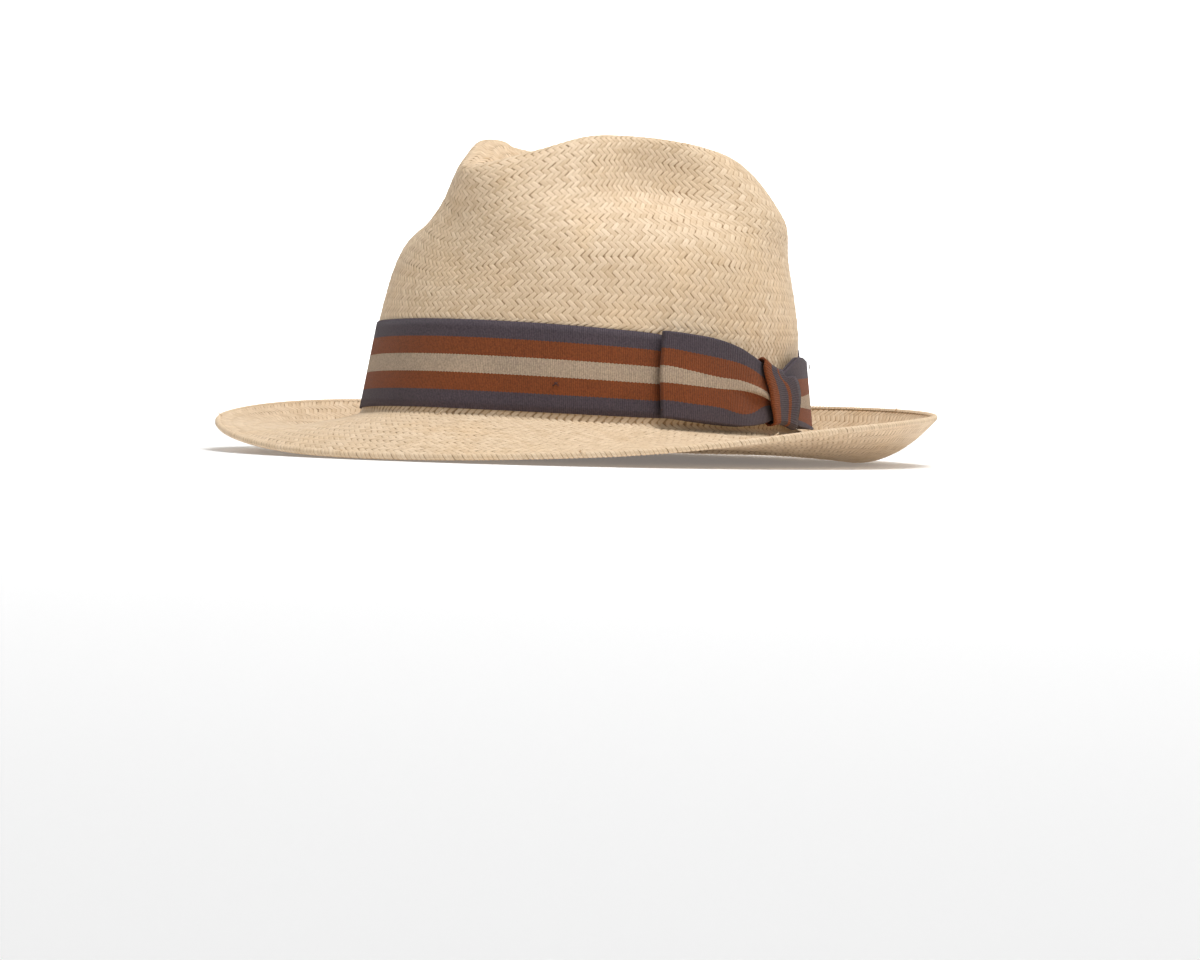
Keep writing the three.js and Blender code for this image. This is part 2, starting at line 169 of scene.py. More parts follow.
# One strand of the weave along its length and over its width: where, and its height as a share of the
# relief
FINE_LENGTHS = ((-1.26, -0.3), (-0.84, 0.66), (0.0, 1.0), (0.84, 0.66), (1.26, -0.3))
FINE_WIDTHS = ((-1.02, 0.0), (-0.5, 0.95), (0.5, 0.95), (1.02, 0.0))
PLAIN_LENGTHS = ((-1.26, -0.3), (-0.7, 0.85), (0.7, 0.85), (1.26, -0.3))
PLAIN_WIDTHS = ((-1.02, 0.0), (0.0, 1.0), (1.02, 0.0))

# The fewest strands in a row, how near in metres they come to the crown's centre, and how far their
# pitch may be off before their number changes
LEAST_COLUMNS = 6
LEAST_DISTANCE = 0.0008
PITCH_SLACK = 0.06

# Random shifts of the strands: their place in lattice units, and shares of their height and their tone
PLACE_SHIFT = 0.03
HEIGHT_SHIFT = 0.14
TONE_SHIFT = 0.26

# How the rows stray from level: size in rows, waves round the hat, phase, and drift from row to row
STRAY = {"size": (0.21, 0.12), "waves": (3, 7), "phase": (0.0, 1.3), "drift": (0.08, 0.05)}

# The wall beneath the strands: its rings' path values, and how deep it lies under the solid's faces
WALL_COLUMNS = 128
WALL_RINGS = np.concatenate(
    [[0.25], np.linspace(0.5, 5, 24), [5.5], [6, 6.5, 7], np.linspace(7.1, 7.97, 12)])
WALL_INSET = 0.0002
RIM_TURNS = (130.0, 80, 30, -30, -80, -130)
RIM_INSET = 0.0003

# A strand of the rope edge over its width: where, and its height as a share of its bulge
ROPE_WIDTHS = ((-0.5, -0.1), (-0.2, 1.0), (0.2, 1.0), (0.5, -0.1))
ROPE_SEGMENTS = 9
ROPE_SLANT = 2.2
ROPE_WRAP = 0.97
ROPE_BULGE = 0.8
ROPE_INSET = 0.0001
ROPE_PLACE_SHIFT = 0.04
ROPE_TONE = 0.55
ROPE_TONE_SHIFT = 0.18

# The ribbons: the share of a flat loop's turn that each of its runs takes, the share of the solid's
# thickness that shows, the joint of the bow in metres, how far the knot rounds over the bow's edges as a
# share of its depth, and the knot's sheet as shares of the ribbon's width
RUN_PART = 0.375
RIBBON_SHOWN = 0.8
BOW_JOINT = 0.01
KNOT_ROUND = 0.6
KNOT_LONG = 0.7

# The pleat across the bow: the height of its fold, how sharp it is and how far it reaches, as across
# values, and how the ribbon above laps over it
PLEAT_HEIGHT = -0.224
PLEAT_EDGE = 0.048
PLEAT_REACH = 0.6
LAP_HEIGHT = -0.14
LAP_REACH = 0.08
LAP = 0.9

THREAD_WIDTH = 0.0005
THREAD_TONE = 0.7


def length(name, default, description):
    return bpy.props.FloatProperty(
        name=name, description=description, default=default, min=0.0, unit="LENGTH", subtype="DISTANCE")


def turned(name, degrees, description):
    return bpy.props.FloatProperty(
        name=name, description=description, default=math.radians(degrees), subtype="ANGLE")


def colour(name, default, description):
    return bpy.props.FloatVectorProperty(
        name=name, description=description, default=default, size=3, min=0.0, max=1.0, subtype="COLOR")


class TrilbySizes(bpy.types.PropertyGroup):
    """Sizes of the hat and its ribbon."""
    head_length: length("Head Length", 0.202, "Front to back of the head opening, inside the straw")
    head_width: length("Head Width", 0.165, "Side to side of the head opening, inside the straw")
    straw: length("Straw Thickness", 0.0016, "Thickness of the woven wall")
    rope: length("Rope Edge", 0.0024, "Thickness of the brim's rolled edge")
    crown_height: length("Crown Height", 0.119, "Height of the crown's ridge over its foot")
    dent_floor: length("Dent Floor", 0.092, "Height of the middle of the dent in the crown")
    foot_radius: length("Foot Radius", 0.0025, "Rounding between the crown and the brim")
    side_dip: length("Side Dip", 0.003, "How far the crown's foot dips at the sides")
    brim_width: length("Brim Width", 0.06, "Width of the brim")
    ribbon_width: length("Ribbon Width", 0.037, "Width of the ribbon")
    ribbon: length("Ribbon Thickness", 0.001, "Thickness of the ribbon and its folds")
    clearance: length("Clearance", 0.0003, "Gap between the ribbon and what it lies on")
    front_loop: length("Front Loop", 0.0715, "Length of the bow in front of its knot")
    rear_loop: length("Rear Loop", 0.04, "Length of the bow behind its knot")
    bow_puff: length("Bow Puff", 0.008, "How far the bow's folds stand out")
    knot_direction: turned("Knot Direction", 107, "Where the knot sits, from the front leftwards")
    pleat: length("Pleat", 0.0012, "How far the pleat in the front loop stands out")
    fold_slant: length("Fold Slant", 0.002, "How far the top of the bow's front fold leans back")
    knot_tuck: length("Knot Tuck", 0.0025, "How far the knot's hidden side sits behind its visible side")
    rest_pitch: turned("Rest Pitch", 0.85, "How far the hat is tipped back as it lies")
    rest_lean: turned("Rest Lean", 0.2, "How far the hat leans to the wearer's right as it lies")


class TrilbyWeave(bpy.types.PropertyGroup):
    """Scale of the weave."""
    pitch: length("Strand Pitch", 0.0031, "Distance between neighbouring strands along a row")
    row: length("Row Height", 0.00285, "Height of one row of slanted strands")
    relief: length("Relief", 0.0003, "How far a strand bulges above its edges")
    rope_pitch: length("Rope Pitch", 0.0019, "Distance between the strands of the brim's rolled edge")
    rib: length("Ribbon Rib", 0.0008, "Distance between the ribs across the ribbon")


class TrilbyColours(bpy.types.PropertyGroup):
    """Colours of the straw and the ribbon."""
    straw_light: colour("Light Straw", (0.85, 0.675, 0.485), "Palest strands")
    straw_dark: colour("Dark Straw", (0.70, 0.525, 0.345), "Darkest strands")
    # The gap colour is painted shade: straw darkened between and beneath the strands.
    gap_shade: colour("Straw Gaps", (0.43, 0.27, 0.14), "Between the strands")
    grey: colour("Ribbon Grey", (0.093, 0.073, 0.089), "Outer stripes of the ribbon")
    rust: colour("Ribbon Rust", (0.256, 0.071, 0.021), "Inner stripes of the ribbon")
    beige: colour("Ribbon Beige", (0.53, 0.415, 0.305), "Middle stripe of the ribbon")


def between(a, b, c, d, f):
    """A Catmull-Rom value between b and c."""
    return 0.5 * (2 * b + (c - a) * f + (2 * a - 5 * b + 4 * c - d) * f ** 2
                  + (3 * b - a - 3 * c + d) * f ** 3)


class HatForm:
    """The hat's surfaces in its own level frame, in metres, worked out from its sizes.

    A path value runs over the upper face: 0 the crown's centre, 2 its ridge, 5 the ribbon's top,
    6 the foot of the wall, 7 the start of the brim and 8 its edge.
    """

    def __init__(self, sizes):
        self.s = sizes
        self.length = sizes.head_length / 2 + sizes.straw
        self.width = sizes.head_width / 2 + sizes.straw
        self.wall_length = sizes.ribbon_width + 0.001
        self.crown_table = {k: np.array(v, float) for k, v in CROWN.items()}
        self.brim_table = {k: np.array(v, float) for k, v in BRIM.items()}
        c, s = math.cos(-sizes.rest_pitch), math.sin(-sizes.rest_pitch)
        tilt = np.array([[1, 0, 0], [0, c, -s], [0, s, c]])
        c, s = math.cos(-sizes.rest_lean), math.sin(-sizes.rest_lean)
        self.turn = tilt @ np.array([[c, 0, s], [0, 1, 0], [-s, 0, c]])
        self.shift = np.zeros(3)
        self.measure()
        self.settle()

    def measure(self):
        """Measure the way along the path, the girth at each path value, and the way round the wall."""
        angles = np.linspace(0, 2 * np.pi, PATH_ANGLES, endpoint=False)
        self.path = np.linspace(0.0, AT_EDGE, PATH_STEPS)
        grid = self.face(angles[:, None], self.path[None, :])
        steps = np.linalg.norm(np.diff(grid, axis=1), axis=2).mean(0)
        self.run = np.concatenate([[0.0], np.cumsum(steps)])
        rounds = np.linalg.norm(np.roll(grid, -1, axis=0) - grid, axis=2).sum(0)
        self.girth = rounds * GIRTH_MARGIN
        self.fine_angle = np.linspace(-np.pi, 3 * np.pi, ARC_STEPS)
        pace = np.hypot(self.width * np.cos(self.fine_angle), self.length * np.sin(self.fine_angle))
        steps = (pace[1:] + pace[:-1]) / 2 * np.diff(self.fine_angle)
        self.fine_arc = np.concatenate([[0.0], np.cumsum(steps)])

    def settle(self):
        """Find the shift that puts the lying hat on the floor with its box over the origin."""
        low, high = (np.array(corner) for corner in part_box("straw_body"))
        turns = np.radians([-80.0, -30, 0, 30, 80])
        angles = np.linspace(0, 2 * np.pi, ROPE_ANGLES, endpoint=False)
        edge = self.rope(np.repeat(angles, len(turns)), np.tile(turns, ROPE_ANGLES)) @ self.turn.T
        self.shift = (low + high) / 2 - (edge.min(0) + edge.max(0)) / 2
        self.shift[2] = low[2] - edge[:, 2].min()

    def lying(self, points):
        """Points carried from the level frame to the way the hat lies."""
        return points @ self.turn.T + self.shift

    def round_value(self, table, column, angle):
        """A Catmull-Rom value of a table whose rows go right round the hat."""
        values = table[column]
        turn = np.asarray(angle) / (2 * np.pi) * len(values)
        i = np.floor(turn).astype(int)
        f = turn - i
        return between(*(values[(i + k) % len(values)] for k in (-1, 0, 1, 2)), f)

    def oval(self, angle):
        """A point of the outside of the head opening's oval."""
        return np.stack([self.width * np.sin(angle), -self.length * np.cos(angle), 0 * angle], -1)

    def away(self, angle):
        """The level direction straight out from the oval."""
        v = np.stack([np.sin(angle) / self.width, -np.cos(angle) / self.length, 0 * angle], -1)
        return v / np.linalg.norm(v, axis=-1, keepdims=True)

    def foot_height(self, angle):
        return -self.s.side_dip * np.sin(angle) ** 2

    def wall(self, angle, share):
        """A point of the wall under the ribbon, share 0 at its foot and 1 at its top."""
        lean = np.radians(self.round_value(self.crown_table, "lean", angle))
        run = share * self.wall_length
        point = self.oval(angle) - self.away(angle) * (run * np.sin(lean))[..., None]
        point[..., 2] = self.foot_height(angle) + self.s.foot_radius + run * np.cos(lean)
        return point

    def crown(self, angle, t):
        """The crown above the ribbon: t is 0 at the ribbon's top, 3 at the ridge and 5 at the centre."""
        base = self.oval(angle)
        foot, top = self.wall(angle, 0 * angle), self.wall(angle, 0 * angle + 1)
        height = self.s.crown_height * self.round_value(self.crown_table, "height", angle)
        mid, upper, ridge = (
            self.round_value(self.crown_table, column, angle) for column in ("mid", "upper", "ridge"))
        slope = height - DENT_SLOPE * (height - self.s.dent_floor)
        radius = np.linalg.norm(base, axis=-1)
        shares = np.stack([1 + 0 * mid, np.hypot(top[..., 0], top[..., 1]) / radius, mid, upper, ridge,
                           ridge * DENT_REACH, 0 * mid, -ridge * DENT_REACH], -1)
        heights = np.stack([foot[..., 2], top[..., 2], MID_LEVEL * height, UPPER_LEVEL * height, height,
                            slope, 0 * mid + self.s.dent_floor, slope], -1)
        i = np.clip(np.floor(t).astype(int), 0, AT_TOP - 1)
        share, up = (
            between(*(np.take_along_axis(rows, (i + k)[..., None], -1)[..., 0] for k in range(4)), t - i)
            for rows in (shares, heights))
        point = base * share[..., None]
        point[..., 2] = up
        return point

    def foot(self, angle, turn):
        """A point of the rounding at the crown's foot, turn 0 at the wall and 1 at the brim."""
        sweep = turn * np.pi / 2
        out = self.s.foot_radius * (1 - np.cos(sweep))
        point = self.oval(angle) + self.away(angle) * out[..., None]
        point[..., 2] = self.foot_height(angle) + self.s.foot_radius * (1 - np.sin(sweep))
        return point

    def brim(self, angle, share):
        """A point of the brim's upper face, share 0 at its start and 1 at its edge."""
        rise = self.s.brim_width * self.round_value(self.brim_table, "rise", angle)
        hang = self.s.brim_width * self.round_value(self.brim_table, "hang", angle)
        out = self.s.foot_radius + share * (self.s.brim_width - self.s.foot_radius)
        point = self.oval(angle) + self.away(angle) * out[..., None]
        point[..., 2] = (self.foot_height(angle) * (1 - share) * (1 - 2 * share)
                         - hang * 4 * share * (1 - share) + rise * share * (2 * share - 1))
        return point

    def face(self, angle, path):
        """A point of the upper face."""
        angle, path = np.broadcast_arrays(np.asarray(angle, float), np.asarray(path, float))
        out = np.empty(angle.shape + (3,))
        parts = ((path < AT_TOP, lambda a, p: self.crown(a, AT_TOP - p)),
                 ((path >= AT_TOP) & (path < AT_FOOT), lambda a, p: self.wall(a, AT_FOOT - p)),
                 ((path >= AT_FOOT) & (path < AT_BRIM), lambda a, p: self.foot(a, p - AT_FOOT)),
                 (path >= AT_BRIM, lambda a, p: self.brim(a, p - AT_BRIM)))
        for where, place in parts:
            if where.any():
                out[where] = place(angle[where], path[where])
        return out

    def normal(self, angle, path):
        """The upper face's outward direction."""
        step = NORMAL_STEP
        outwards = self.face(angle, path + step) - self.face(angle, np.maximum(path - step, 0.0))
        sideways = self.face(angle + step, path) - self.face(angle - step, path)
        n = np.cross(outwards, sideways)
        return n / np.maximum(np.linalg.norm(n, axis=-1, keepdims=True), 1e-12)

    def skin(self, angle, path, off):
        """A point off the upper face, off in metres along its outward direction."""
        path = np.maximum(path, NORMAL_STEP)
        return self.face(angle, path) + self.normal(angle, path) * np.asarray(off)[..., None]

    def rope(self, angle, turn, extra=0.0):
        """A point of the brim's rolled edge at a direction round its section."""
        radius = self.s.rope / 2 + extra
        middle = self.brim(angle, 0 * angle + 1)
        point = middle + self.away(angle) * (radius * np.cos(turn))[..., None]
        point[..., 2] += radius * np.sin(turn) - self.s.straw / 2
        return point

    def angle_after(self, distance):
        """The angle reached by going a distance round the wall from the knot."""
        start = np.interp(self.s.knot_direction, self.fine_angle, self.fine_arc)
        return np.interp(start + distance, self.fine_arc, self.fine_angle)

    def on_wall(self, angle, up, off):
        """A point over the wall, up from the ribbon's middle and off the straw."""
        share = 0.5 + up / self.wall_length
        upwards = self.wall(angle, 0 * angle + 1) - self.wall(angle, 0 * angle)
        sideways = self.wall(angle + SIDE_STEP, share) - self.wall(angle - SIDE_STEP, share)
        n = np.cross(sideways, upwards)
        n /= np.linalg.norm(n, axis=-1, keepdims=True)
        return self.wall(angle, share) + n * np.asarray(off)[..., None]


def along(table, column, share):
    """A value of a table whose rows run along a share, on a smooth curve through its rows."""
    at, values = np.array(table["share"], float), np.array(table[column], float)
    steep = (values[2:] - values[:-2]) / (at[2:] - at[:-2])
    slope = np.concatenate([[0.0], steep, [0.0]])
    share = np.clip(share, at[0], at[-1])
    i = np.clip(np.searchsorted(at, share, side="right") - 1, 0, len(at) - 2)
    step = at[i + 1] - at[i]
    f = (share - at[i]) / step
    return (values[i] * (1 + 2 * f) * (1 - f) ** 2 + values[i + 1] * f * f * (3 - 2 * f)
            + step * (slope[i] * f * (1 - f) ** 2 - slope[i + 1] * f * f * (1 - f)))


# Meshes

def points_of(mesh):
    co = np.empty(len(mesh.vertices) * 3)
    mesh.vertices.foreach_get("co", co)
    return co.reshape(-1, 3)


def set_points(mesh, points):
    mesh.vertices.foreach_set("co", np.ascontiguousarray(points, dtype=np.float64).ravel())
    mesh.update()


def shade(mesh, tone, crest):
    """Store each point's tone and how near it is to the crest of its strand, both from 0 to 1; the
    straw's painted shade darkens points far from the crest.
    """
    for name, values in (("tone", tone), ("crest", crest)):
        layer = mesh.attributes.new(name, "FLOAT", "POINT")
        layer.data.foreach_set("value", np.clip(values, 0, 1).astype(np.float32))


def mesh_of(bm, name):
    """A smooth mesh made from a bmesh, which is freed."""
    mesh = bpy.data.meshes.new(name)
    bm.to_mesh(mesh)
    bm.free()
    mesh.polygons.foreach_set("use_smooth", [True] * len(mesh.polygons))
    return mesh


def linked(name, data):
    piece = bpy.data.objects.new(name, data)
    bpy.context.scene.collection.objects.link(piece)
    return piece


def show(mesh, name, material):
    """Link a mesh as a finished piece that rides on the hat."""
    mesh.materials.clear()
    mesh.materials.append(material)
    piece = linked(name, mesh)
    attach(piece, "root")
    return piece


def arrayed(mesh, count):
    """A mesh repeated along X by an Array modifier, one unit apart."""
    holder = linked("pattern", mesh)
    step = holder.modifiers.new("rows", "ARRAY")
    step.use_relative_offset = False
    step.use_constant_offset = True
    step.constant_offset_displace = (1, 0, 0)
    step.count = count
    ready = holder.evaluated_get(bpy.context.evaluated_depsgraph_get())
    result = bpy.data.meshes.new_from_object(ready)
    bpy.data.objects.remove(holder)
    return result


def strand_mesh(lengths, widths, relief):
    """One slanted strand each way, as bulging patches of a herringbone.

    Their places are in lattice units, one column by one row, and their height is in metres.
    """
    bm = bmesh.new()
    bm.loops.layers.uv.new("UVMap")
    for lean, centre in ((1, (0.0, 0.0)), (-1, (0.5, 1.0))):
        made = bmesh.ops.create_grid(
            bm, x_segments=len(lengths) - 1, y_segments=len(widths) - 1,
            size=1.0, calc_uvs=True)["verts"]
        for v in made:
            i = round((v.co.x + 1) / 2 * (len(lengths) - 1))
            j = round((v.co.y + 1) / 2 * (len(widths) - 1))
            u, w = lengths[i][0], widths[j][0]
            rise = lengths[i][1] * widths[j][1]
            x, y = 0.5 * u - 0.25 * w, 0.5 * u + 0.25 * w
            v.co = (centre[0] + lean * x, centre[1] + y, relief * rise)
        if lean < 0:
            faces = {f for v in made for f in v.link_faces}
            bmesh.ops.reverse_faces(bm, faces=list(faces))
    return mesh_of(bm, "strand")


def weave_mesh(form, weave, start, end, side, fine, seed):
    """A woven skin between two distances from the crown's centre, on one side of the wall (1 or -1)."""
    rng = np.random.default_rng(seed)
    lengths, widths = (FINE_LENGTHS, FINE_WIDTHS) if fine else (PLAIN_LENGTHS, PLAIN_WIDTHS)
    unit = strand_mesh(lengths, widths, weave.relief)
    block = len(lengths) * len(widths)
    whole = bmesh.new()
    pairs = max(1, round((end - start) / (2 * weave.row)))
    row = (end - start) / (2 * pairs)
    columns = LEAST_COLUMNS
    for k in range(pairs):
        low = start + 2 * k * row
        ideal = np.interp(low + row, form.run, form.girth) / weave.pitch
        if abs(ideal / columns - 1) > PITCH_SLACK:
            columns = max(LEAST_COLUMNS, round(ideal))
        mesh = arrayed(unit, columns)
        lattice = points_of(mesh)
        shake = np.repeat(rng.normal(0, 1, (len(lattice) // block, 4)), block, axis=0)
        x = lattice[:, 0] + PLACE_SHIFT * shake[:, 0]
        y = lattice[:, 1] + 0.5 + PLACE_SHIFT * shake[:, 1]
        angle = side * 2 * np.pi * x / columns
        stray = sum(size * np.sin(waves * angle + phase + k * drift)
                    for size, waves, phase, drift in zip(*STRAY.values()))
        distance = np.clip(low + (y + stray) * row, LEAST_DISTANCE, form.run[-1])
        path = np.interp(distance, form.run, form.path)
        off = lattice[:, 2] * (1 + HEIGHT_SHIFT * shake[:, 2])
        if side < 0:
            off = -form.s.straw - off
        set_points(mesh, form.lying(form.skin(angle, path, off)))
        # The crest share sets the straw's painted shade at each strand's edges.
        shade(mesh, 0.5 + TONE_SHIFT * shake[:, 3], lattice[:, 2] / weave.relief)
        whole.from_mesh(mesh)
        bpy.data.meshes.remove(mesh)
    bpy.data.meshes.remove(unit)
    return mesh_of(whole, "weave")


def face_out(mesh, form, side):
    """Turn a skin's faces to the side that it covers."""
    polygon = mesh.polygons[len(mesh.polygons) // 2]
    level = (np.array(polygon.center) - form.shift) @ form.turn
    angle = np.arctan2(level[0] / form.width, -level[1] / form.length)
    near = np.argmin(np.linalg.norm(form.face(angle, form.path) - level, axis=1))
    out = form.normal(np.array([angle]), form.path[near:near + 1])[0] @ form.turn.T
    if side * float(out @ np.array(polygon.normal)) < 0:
        mesh.flip_normals()
    return mesh


def shell_mesh(form):
    """The closed wall beneath the weave: a profile spun full circle, then put in place ring by ring."""
    rows = len(WALL_RINGS)
    edge = np.radians(RIM_TURNS)
    count = 2 * rows + len(edge)
    bm = bmesh.new()
    sweep = np.pi * np.arange(count) / (count - 1)
    profile = [bm.verts.new((2 + math.cos(a), 0, math.sin(a))) for a in sweep]
    edges = [bm.edges.new(pair) for pair in zip(profile, profile[1:])]
    bmesh.ops.spin(bm, geom=profile + edges, cent=(0, 0, 0), axis=(0, 0, 1), angle=2 * math.pi,
                   steps=WALL_COLUMNS, use_merge=True, use_duplicate=False)
    bm.verts.ensure_lookup_table()
    co = np.array([v.co[:] for v in bm.verts])
    around = np.arctan2(co[:, 1], co[:, 0])
    swept = np.arctan2(co[:, 2], np.hypot(co[:, 0], co[:, 1]) - 2)
    j = np.round(swept / math.pi * (count - 1)).astype(int)
    angle = around + np.pi / 2
    points = np.empty_like(co)
    upper, lower = j < rows, j >= rows + len(edge)
    rim = ~upper & ~lower
    points[upper] = form.skin(angle[upper], WALL_RINGS[j[upper]], np.full(upper.sum(), -WALL_INSET))
    points[rim] = form.rope(angle[rim], edge[j[rim] - rows], -RIM_INSET)
    points[lower] = form.skin(angle[lower], WALL_RINGS[count - 1 - j[lower]],
                              np.full(lower.sum(), WALL_INSET - form.s.straw))
    for v, p in zip(bm.verts, form.lying(points)):
        v.co = p
    for ring in (0, count - 1):
        loop = {v for v, k in zip(bm.verts, j) if k == ring}
        bmesh.ops.contextual_create(bm, geom=[e for e in bm.edges if loop.issuperset(e.verts)])
    bmesh.ops.recalc_face_normals(bm, faces=bm.faces)
    return mesh_of(bm, "straw_shell")


def rope_mesh(form, weave):
    """The brim's rolled edge: slanted strands laid side by side round a rope."""
    count = round(form.girth[-1] / weave.rope_pitch)
    bm = bmesh.new()
    bm.loops.layers.uv.new("UVMap")
    bmesh.ops.create_grid(
        bm, x_segments=len(ROPE_WIDTHS) - 1, y_segments=ROPE_SEGMENTS, size=0.5, calc_uvs=True)
    for v in bm.verts:
        width, rise = ROPE_WIDTHS[round((v.co.x + 0.5) * (len(ROPE_WIDTHS) - 1))]
        v.co = (width, v.co.y, rise)
    unit = mesh_of(bm, "rope_strand")
    block = len(unit.vertices)
    mesh = arrayed(unit, count)
    lattice = points_of(mesh)
    rng = np.random.default_rng(7)
    shake = np.repeat(rng.normal(0, 1, (count, 2)), block, axis=0)
    x = lattice[:, 0] + ROPE_SLANT * lattice[:, 1] + ROPE_PLACE_SHIFT * shake[:, 0]
    turn = -lattice[:, 1] * 2 * np.pi * ROPE_WRAP
    bulge = weave.relief * ROPE_BULGE * lattice[:, 2] - ROPE_INSET
    set_points(mesh, form.lying(form.rope(2 * np.pi * x / count, turn, bulge)))
    # The crest sets the straw's painted shade at the edges of the rope's strands.
    shade(mesh, ROPE_TONE + ROPE_TONE_SHIFT * shake[:, 1], lattice[:, 2])
    return mesh


def thread_mesh(form, on):
    """The loose ends on the ribbon or on the straw, as thin tapered bars."""
    bm = bmesh.new()
    for kind, angle, place, off, lean, lift, size in zip(*THREADS.values()):
        if kind != on:
            continue

        def spot(turn, out):
            surface = form.on_wall if kind == "ribbon" else form.skin
            return surface(np.radians([angle + turn]), np.array([place]), np.array([off + out]))[0]

        start = spot(0.0, 0.0)
        out = Vector(spot(0.0, 0.001) - start).normalized()
        side = Vector(spot(0.5, 0.0) - start).normalized()
        flat = side * math.cos(math.radians(lean)) + out.cross(side) * math.sin(math.radians(lean))
        way = flat * math.cos(math.radians(lift)) + out * math.sin(math.radians(lift))
        middle = Vector(start) + (way * size / 2 if kind == "straw" else Vector((0, 0, 0)))
        matrix = Matrix.Translation(middle) @ way.to_track_quat("Z", "Y").to_matrix().to_4x4()
        bmesh.ops.create_cone(bm, segments=6, radius1=THREAD_WIDTH / 2, radius2=THREAD_WIDTH / 3,
                              depth=size, cap_ends=True, matrix=matrix)
    mesh = mesh_of(bm, "threads")
    set_points(mesh, form.lying(points_of(mesh)))
    shade(mesh, np.full(len(mesh.vertices), THREAD_TONE), np.ones(len(mesh.vertices)))
    return mesh


def ribbon_mesh(form, place, steps, across, span):
    """A closed loop of flat ribbon: place gives its middle at a turn and an across value.

    Its UV runs along it in metres, span long, and across it from 0 to 1.
    """
    bm = bmesh.new()
    bm.loops.layers.uv.new("UVMap")
    bmesh.ops.create_grid(bm, x_segments=steps, y_segments=across, size=0.5, calc_uvs=True)
    co = np.array([v.co[:] for v in bm.verts])
    points = form.lying(place((co[:, 0] + 0.5) * 2 * np.pi, co[:, 1] * 2))
    uv = bm.loops.layers.uv.active
    for f in bm.faces:
        for loop in f.loops:
            loop[uv].uv = ((loop.vert.co.x + 0.5) * span, loop.vert.co.y + 0.5)
    for v, p in zip(bm.verts, points):
        v.co = p
    bmesh.ops.remove_doubles(bm, verts=bm.verts, dist=1e-6)
    return mesh_of(bm, "ribbon")


def ribbon_piece(form, place, steps, across, span, name, material):
    """A loop of ribbon as a finished piece with its thickness."""
    piece = show(ribbon_mesh(form, place, steps, across, span), name, material)
    wall = piece.modifiers.new("Thickness", "SOLIDIFY")
    wall.thickness = form.s.ribbon * RIBBON_SHOWN
    wall.offset = 0.0
    wall.use_even_offset = False
    return piece


def loop_place(turn):
    """Where a turn lies on a flat loop.

    Gives the share of its length, its side (1 outer, -1 inner) and its reach past its end.
    """
    whole = (turn / (2 * np.pi) + 1) % 1
    half = np.where(whole < 0.5, 1, -1)
    f = np.where(whole < 0.5, whole, whole - 0.5)
    run = f < RUN_PART
    share_run = np.where(half > 0, f / RUN_PART, 1 - f / RUN_PART)
    sweep = np.pi * (f - RUN_PART) / (0.5 - RUN_PART)
    share = np.where(run, share_run, np.where(half > 0, 1.0, 0.0))
    side = np.where(run, half, half * np.cos(sweep))
    past = np.where(run, 0.0, half * np.sin(sweep))
    return share, side, past


def on_band(form):
    """How far off the straw the middle of a ribbon lies that rests on the band."""
    return 2 * form.s.clearance + 1.5 * form.s.ribbon


def band_place(form):
    """The band's middle at a turn round the hat and an across value."""
    def place(turn, across):
        start = form.angle_after(-form.s.front_loop)
        end = form.angle_after(form.s.rear_loop)
        share = (np.mod(turn + np.pi / 2, 2 * np.pi) - np.pi / 2 - start) / (end - start)
        low, high = (
            along(GATHER, column, share) * form.s.ribbon_width / 2 for column in ("bottom", "top"))
        up = low + (across + 1) / 2 * (high - low)
        return form.on_wall(turn, up, np.full(len(turn), form.s.clearance + form.s.ribbon / 2))
    return place


def bow_edge(form, share, column):
    return along(BOW, column, share) * form.s.ribbon_width / 2


def bow_place(form):
    """The bow's middle at a turn round its loop and an across value."""
    s = form.s

    def place(turn, across):
        share, side, past = loop_place(turn)
        flare = 1 - along(BOW, "flare", share) * across
        low = on_band(form) + s.bow_puff * along(BOW, "inner", share)
        high = on_band(form) + s.bow_puff * along(BOW, "outer", share) * flare
        lines = np.stack([bow_edge(form, share, column) for column in STRIPE_LINES], -1)
        even = lines[:, :1] + (lines[:, -1:] - lines[:, :1]) * np.linspace(0, 1, len(STRIPE_LINES))
        lines = np.where((side > 0)[:, None], lines, even)
        stripes = len(STRIPE_LINES) - 1
        v = (across + 1) / 2 * stripes
        i = np.clip(np.floor(v).astype(int), 0, stripes - 1)
        rows = np.arange(len(v))
        up = lines[rows, i] + (lines[rows, i + 1] - lines[rows, i]) * (v - i)
        above = across - PLEAT_HEIGHT
        fold = np.tanh(above / PLEAT_EDGE) * np.exp(-(above / PLEAT_REACH) ** 2)
        lift = np.where(side > 0, along(BOW, "pleat", share) * s.pleat, 0)
        bulge = lift * fold
        up = up - lift * LAP * np.exp(-((across - LAP_HEIGHT) / LAP_REACH) ** 2)
        slant = s.fold_slant * np.maximum(across, 0) * np.clip(1 - 4 * share, 0, 1)
        reach = share * (s.front_loop + s.rear_loop) - s.front_loop + past * (high - low) / 2 + slant
        off = (low + high) / 2 + side * (high - low) / 2 + bulge
        return form.on_wall(form.angle_after(reach), up, off)
    return place


def knot_place(form):
    """The knot's middle at a turn round the bow and an across value."""
    s = form.s

    def place(turn, across):
        share, side, past = loop_place(turn)
        middle, width = along(KNOT, "middle", share), along(KNOT, "width", share)
        reach = s.ribbon_width * (middle + width * across / 2) + s.knot_tuck * (1 - side) / 2
        bow_share = (reach + s.front_loop) / (s.front_loop + s.rear_loop)
        under = s.bow_puff * along(BOW, "outer", bow_share) + s.pleat * along(BOW, "pleat", bow_share)
        outside = on_band(form) + under + s.ribbon + s.clearance
        depth = (outside - on_band(form)) / 2
        upper = bow_edge(form, bow_share, "top") + s.clearance
        lower = bow_edge(form, bow_share, "bottom") - s.clearance
        up = upper + share * (lower - upper) - past * depth * KNOT_ROUND
        return form.on_wall(form.angle_after(reach), up, on_band(form) + depth + side * depth)
    return place


# Materials

